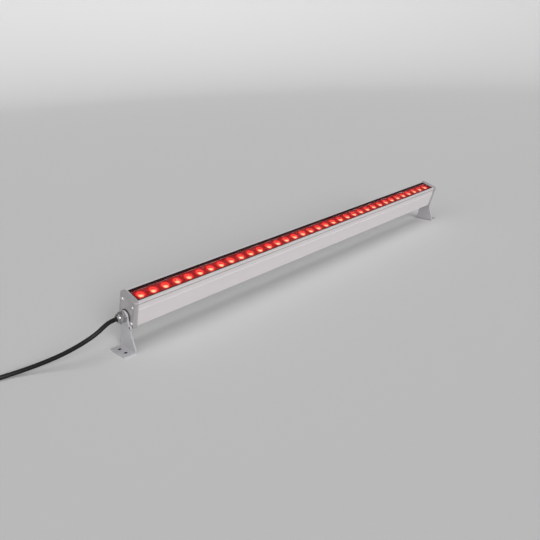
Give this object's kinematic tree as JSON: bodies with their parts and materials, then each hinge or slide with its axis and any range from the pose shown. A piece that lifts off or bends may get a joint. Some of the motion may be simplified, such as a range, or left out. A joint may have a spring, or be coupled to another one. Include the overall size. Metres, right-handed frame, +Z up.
{
  "type": "wall washer light",
  "caption": "Long outdoor wall washer light with a row of red lit lenses under glass, end caps, a cable gland and two tilting foot brackets.",
  "frame": {"origin": "on the ground under the middle of the light, its cable left out", "axes": "+X along the lamp away from its cable end, -Y towards the long side that the lamp is tilted to, +Z up"},
  "size_m": [1.3465, 0.2264, 0.1145],
  "materials": {
    "housing_paint": "silver anodised, satin",
    "cap_paint": "silver-grey satin coat on a casting",
    "bracket_paint": "silver-grey satin coat on bent steel",
    "gland_metal": "dull nickel plate",
    "screw_steel": "plain steel",
    "black_rubber": "matt black",
    "grey_rubber": "soft grey",
    "clear_glass": "clear toughened",
    "black_plastic": "matt black",
    "white_plastic": "matt white",
    "white_board": "white solder mask on aluminium",
    "green_board": "green solder mask",
    "red_light": "lit red diode",
    "red_lens": "clear acrylic that glows red when lit",
    "cable_sheath": "satin black sheath",
    "core_brown": "brown insulation",
    "core_blue": "blue insulation",
    "core_earth": "green and yellow insulation",
    "copper": "bare copper strands"
  },
  "bodies": {
    "lamp": {"housing": "housing_paint", "end_cap_left": "cap_paint", "end_cap_right": "cap_paint", "end_seal_left": "black_rubber", "end_seal_right": "black_rubber", "cap_screws_left": "screw_steel", "cap_screws_right": "screw_steel", "pivot_seal_left": "black_rubber", "pivot_seal_right": "black_rubber", "glass_seal": "black_rubber", "glass_cover": "clear_glass", "sealant_bead": "black_rubber", "thermal_pad": "grey_rubber", "board_links": "white_plastic", "driver_board": "green_board", "terminal_block": "white_plastic", "transformer": "black_plastic", "capacitors": "black_plastic", "gland_body": "gland_metal", "gland_nut": "gland_metal", "gland_insert": "black_rubber", "inner_cable": "cable_sheath", "bolt_washer": "screw_steel", "pivot_bolt": "screw_steel", "cable_lead": "cable_sheath", "cable_coil": "cable_sheath", "coil_tie": "black_plastic", "core_brown": "core_brown", "core_blue": "core_blue", "core_earth": "core_earth", "core_strands": "copper", "led_board_1": "white_board", "led_emitters_1": "red_light", "lens_tray_1": "black_plastic", "lenses_1": "red_lens", "led_board_2": "white_board", "led_emitters_2": "red_light", "lens_tray_2": "black_plastic", "lenses_2": "red_lens", "led_board_3": "white_board", "led_emitters_3": "red_light", "lens_tray_3": "black_plastic", "lenses_3": "red_lens", "led_board_4": "white_board", "led_emitters_4": "red_light", "lens_tray_4": "black_plastic", "lenses_4": "red_lens", "led_board_5": "white_board", "led_emitters_5": "red_light", "lens_tray_5": "black_plastic", "lenses_5": "red_lens", "led_board_6": "white_board", "led_emitters_6": "red_light", "lens_tray_6": "black_plastic", "lenses_6": "red_lens"},
    "bracket_left": {"bracket_left": "bracket_paint"},
    "bracket_right": {"bracket_right": "bracket_paint"}
  },
  "joints": [
    {"name": "bracket_left_tilt", "type": "hinge", "parent": "lamp", "child": "bracket_left", "pos_m": [-0.504, 0.00379, 0.0685], "axis": [1, 0, 0], "range_deg": [-72, 108]},
    {"name": "bracket_right_tilt", "type": "hinge", "parent": "lamp", "child": "bracket_right", "pos_m": [0.504, 0.00379, 0.0685], "axis": [1, 0, 0], "range_deg": [-72, 108]}
  ]
}
